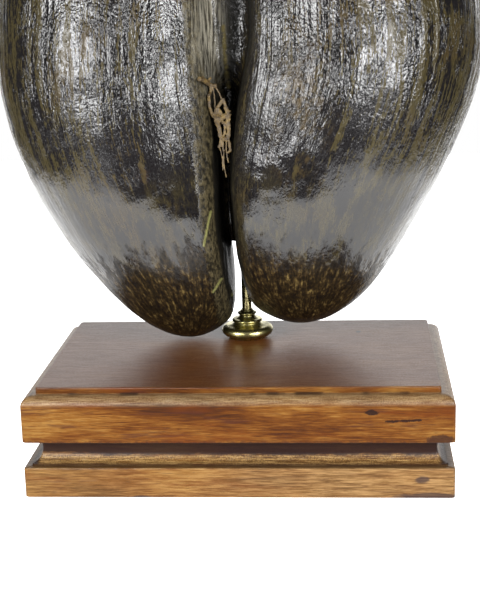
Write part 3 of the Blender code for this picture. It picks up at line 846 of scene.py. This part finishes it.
def fibre_path(start, end, bulge, room):
    """A bowed run from one (across, up) point in mm to another, kept in front of the nut."""
    first, last = (Vector((x / 1000, 0, z / 1000)) for x, z in (start, end))
    aside = (last - first).cross(Vector((0, 1, 0))).normalized() * bulge / 1000
    path = []
    for i in range(RUN_STEPS + 1):
        share = i / RUN_STEPS
        here = first.lerp(last, share) + aside * math.sin(math.pi * share)
        here += noise.noise_vector(here * 900) * WANDER
        met = nut_surface.ray_cast(Vector((here.x, IN_FRONT_Y, here.z)), Vector((0, 1, 0)))[0]
        here.y = min(NET_Y, met.y - room if met else NET_Y)
        path.append(here)
    return path


net_strands = (
    ((-12.4, 142.0), (-8.2, 139.6), 0.4, 1.3),
    ((-8.2, 139.6), (-3.6, 138.4), -0.5, 1.2),
    ((-8.4, 139.8), (-6.6, 142.9), 0.3, 0.8),
    ((-10.8, 143.2), (-9.6, 139.4), 0.3, 0.7),
    ((-7.2, 139.2), (-7.8, 133.0), 0.5, 0.9),
    ((-7.8, 133.0), (-5.9, 121.4), -0.6, 0.9),
    ((-6.0, 138.8), (-4.9, 126.5), 0.4, 0.45),
    ((-4.6, 138.2), (-1.0, 130.9), 0.3, 0.5),
    ((-0.4, 131.4), (-3.6, 126.4), 0.4, 1.1),
    ((-3.6, 126.4), (-5.6, 120.8), 0.4, 1.5),
    ((-0.4, 131.4), (0.9, 126.6), 0.3, 0.9),
    ((0.9, 126.6), (3.2, 123.6), -0.3, 1.2),
    ((-3.2, 125.4), (-1.0, 121.6), 0.2, 1.3),
    ((-5.2, 120.6), (-1.2, 121.2), -0.7, 2.2),
    ((-5.0, 119.2), (-1.6, 118.6), 0.6, 2.3),
    ((-1.4, 121.0), (3.0, 123.2), -0.5, 1.8),
    ((-3.8, 118.2), (-2.2, 110.6), 0.5, 1.3),
    ((3.2, 123.2), (2.6, 116.0), -0.6, 1.3),
    ((2.6, 116.0), (1.9, 109.4), 0.3, 1.1),
    ((-2.2, 110.8), (1.9, 109.4), -0.8, 1.3),
    ((-1.2, 118.4), (2.4, 115.6), 0.7, 1.1),
    ((0.2, 117.0), (-0.4, 110.0), 0.5, 0.7),
    ((-2.0, 110.4), (-3.0, 104.0), 0.4, 0.8),
    ((-0.6, 109.8), (-0.4, 102.4), -0.4, 0.7),
    ((1.8, 109.4), (3.3, 102.2), 0.5, 0.8),
    ((3.3, 102.2), (1.7, 101.4), -0.3, 0.6),
    ((1.2, 109.6), (2.0, 96.0), -0.5, 0.4),
    ((-2.6, 104.6), (-1.2, 92.0), 0.7, 0.35),
    ((-0.4, 102.4), (0.9, 88.0), -0.6, 0.35),
)
threads = bpy.data.curves.new("net_threads", "CURVE")
threads.dimensions = "3D"
threads.bevel_depth = THREAD
threads.bevel_resolution = 1
threads.use_fill_caps = True
for start, end, bulge, thickness in net_strands:
    spline = threads.splines.new("POLY")
    path = fibre_path(start, end, bulge, THREAD * thickness + CLEAR_OF_SKIN)
    spline.points.add(len(path) - 1)
    for point, here in zip(spline.points, path):
        point.co = (*here, 1)
        point.radius = thickness * (0.85 + 0.3 * noise.noise(here * 700))
guide = bpy.data.objects.new("net_threads", threads)
bpy.context.scene.collection.objects.link(guide)
solid = bpy.data.meshes.new_from_object(guide.evaluated_get(bpy.context.evaluated_depsgraph_get()))
bpy.data.objects.remove(guide)
shape = bmesh.new()
shape.from_mesh(solid)
bmesh.ops.remove_doubles(shape, verts=shape.verts[:], dist=1e-6)
bmesh.ops.recalc_face_normals(shape, faces=shape.faces[:])
shape.transform(NUT_PLACE)
net_piece = piece_from(shape, "fibre_net", 180)
fuse = net_piece.modifiers.new("fuse", "REMESH")
fuse.mode = "VOXEL"
fuse.voxel_size = FUSED_CELL
fuse.use_smooth_shade = True

husk = Finish("dry_husk")
place = husk.place()
paper_tone = husk.noise(place, 260, 4, 0.65)
strand_tone = husk.noise(husk.stretch(place, (1800, 1800, 300)), 1.0, 3, 0.6)
colour = husk.ramp(
    paper_tone * 0.6 + strand_tone * 0.4,
    (0.36, (0.013, 0.007, 0.002)),
    (0.50, (0.048, 0.028, 0.006)),
    (0.64, (0.125, 0.080, 0.018)),
)
net_piece.data.materials.append(
    husk.shade(
        Base_Color=colour,
        Roughness=0.62,
        Normal=husk.relief(strand_tone * 0.7 + paper_tone * 0.3, 0.0003),
    )
)
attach(net_piece, "root")
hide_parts("fibre_tuft")

# The camera stands where the photograph's did. The table is a bright white sheet whose front edge
# shows in the nut's lower half. The room is dark but for a low white backdrop behind the stand and
# a tall soft light at each side.

SHEET_FRONT_Y = -0.47
SHEET_BACK_Y = 1.20
SHEET_LEFT_X = -0.50
SHEET_RIGHT_X = 0.42
SHEET_GLOW = 2.0
BACKDROP_GLOW = 2.1
ROOM_GLOW = 0.07
CAMERA_PLACE = (0.0637, -0.8127, 0.3000)
CAMERA_TURN = (4.627, 14.283, -1.62)
CAMERA_LENS = 84.27

shape = bmesh.new()
bmesh.ops.create_grid(shape, x_segments=1, y_segments=1, size=0.5)
sheet_size = Matrix.Diagonal((SHEET_RIGHT_X - SHEET_LEFT_X, SHEET_BACK_Y - SHEET_FRONT_Y, 1, 1))
sheet_middle = ((SHEET_RIGHT_X + SHEET_LEFT_X) / 2, (SHEET_BACK_Y + SHEET_FRONT_Y) / 2, -0.0004)
sheet_place = Matrix.Translation(sheet_middle)
bmesh.ops.transform(shape, matrix=sheet_place @ sheet_size, verts=shape.verts[:])
floor = piece_from(shape, "floor")
paper = Finish("white_sheet")
tooth = paper.noise(paper.place(), 40, 2, 0.5)
white = paper.mix(tooth, (0.90, 0.90, 0.90), (0.94, 0.94, 0.94))
glow = paper.shade(Base_Color=white, Roughness=0.9, Emission_Color=white, Emission_Strength=SHEET_GLOW)
floor.data.materials.append(glow)

world = bpy.data.worlds.new("studio")
bpy.context.scene.world = world
world.use_nodes = True
room = world.node_tree
around_room = room.nodes.new("ShaderNodeTexCoord")
split = room.nodes.new("ShaderNodeSeparateXYZ")
room.links.new(around_room.outputs["Generated"], split.inputs[0])


def step_along(axis, low, high, most):
    """A smooth step up to most along one axis of the way that a ray goes."""
    made = room.nodes.new("ShaderNodeMapRange")
    made.interpolation_type = "SMOOTHSTEP"
    made.inputs["From Min"].default_value = low
    made.inputs["From Max"].default_value = high
    made.inputs["To Max"].default_value = most
    room.links.new(split.outputs[axis], made.inputs["Value"])
    return made.outputs["Result"]


behind = step_along("Y", 0.80, 0.95, BACKDROP_GLOW)
low_down = step_along("Z", 0.62, 0.40, 1.0)
backdrop = room.nodes.new("ShaderNodeMath")
backdrop.operation = "MULTIPLY_ADD"
room.links.new(behind, backdrop.inputs[0])
room.links.new(low_down, backdrop.inputs[1])
backdrop.inputs[2].default_value = ROOM_GLOW
seen = room.nodes.new("ShaderNodeLightPath")
level = room.nodes.new("ShaderNodeMix")
room.links.new(seen.outputs["Is Camera Ray"], level.inputs[0])
room.links.new(backdrop.outputs[0], level.inputs[2])
level.inputs[3].default_value = 1.0
room.links.new(level.outputs[0], room.nodes["Background"].inputs["Strength"])
room.nodes["Background"].inputs["Color"].default_value = (1, 1, 1, 1)


def soft_light(name, turned, distance, low, high, width, radiance):
    """An upright soft light, turned so many degrees round the stand from the front."""
    light = bpy.data.lights.new(name, "AREA")
    light.shape = "RECTANGLE"
    light.size, light.size_y = width, high - low
    light.energy = radiance * math.pi * width * (high - low)
    lamp = bpy.data.objects.new(name, light)
    angle = math.radians(turned)
    place = Vector((distance * math.sin(angle), -distance * math.cos(angle), (low + high) / 2))
    lamp.location = place
    lamp.rotation_euler = Vector((-place.x, -place.y, 0)).to_track_quat("-Z", "Y").to_euler()
    bpy.context.scene.collection.objects.link(lamp)


soft_light("left_light", -41, 1.05, 0.22, 0.66, 0.66, 24)
soft_light("right_light", 41, 1.05, 0.21, 0.66, 0.58, 26)

yaw, pitch, roll = (math.radians(a) for a in CAMERA_TURN)
forward = Vector((-math.sin(yaw) * math.cos(pitch), math.cos(yaw) * math.cos(pitch), -math.sin(pitch)))
level_right = Vector((math.cos(yaw), math.sin(yaw), 0))
level_up = level_right.cross(forward)
right = math.cos(roll) * level_right + math.sin(roll) * level_up
up = math.cos(roll) * level_up - math.sin(roll) * level_right
turn = Matrix((right, up, -forward)).transposed().to_4x4()
camera = bpy.data.objects.new("camera", bpy.data.cameras.new("camera"))
camera.data.lens = CAMERA_LENS
camera.data.clip_start = 0.01
camera.matrix_world = Matrix.Translation(CAMERA_PLACE) @ turn
bpy.context.scene.collection.objects.link(camera)
bpy.context.scene.camera = camera
bpy.context.scene.view_settings.view_transform = "Standard"

bpy.context.view_layer.update()
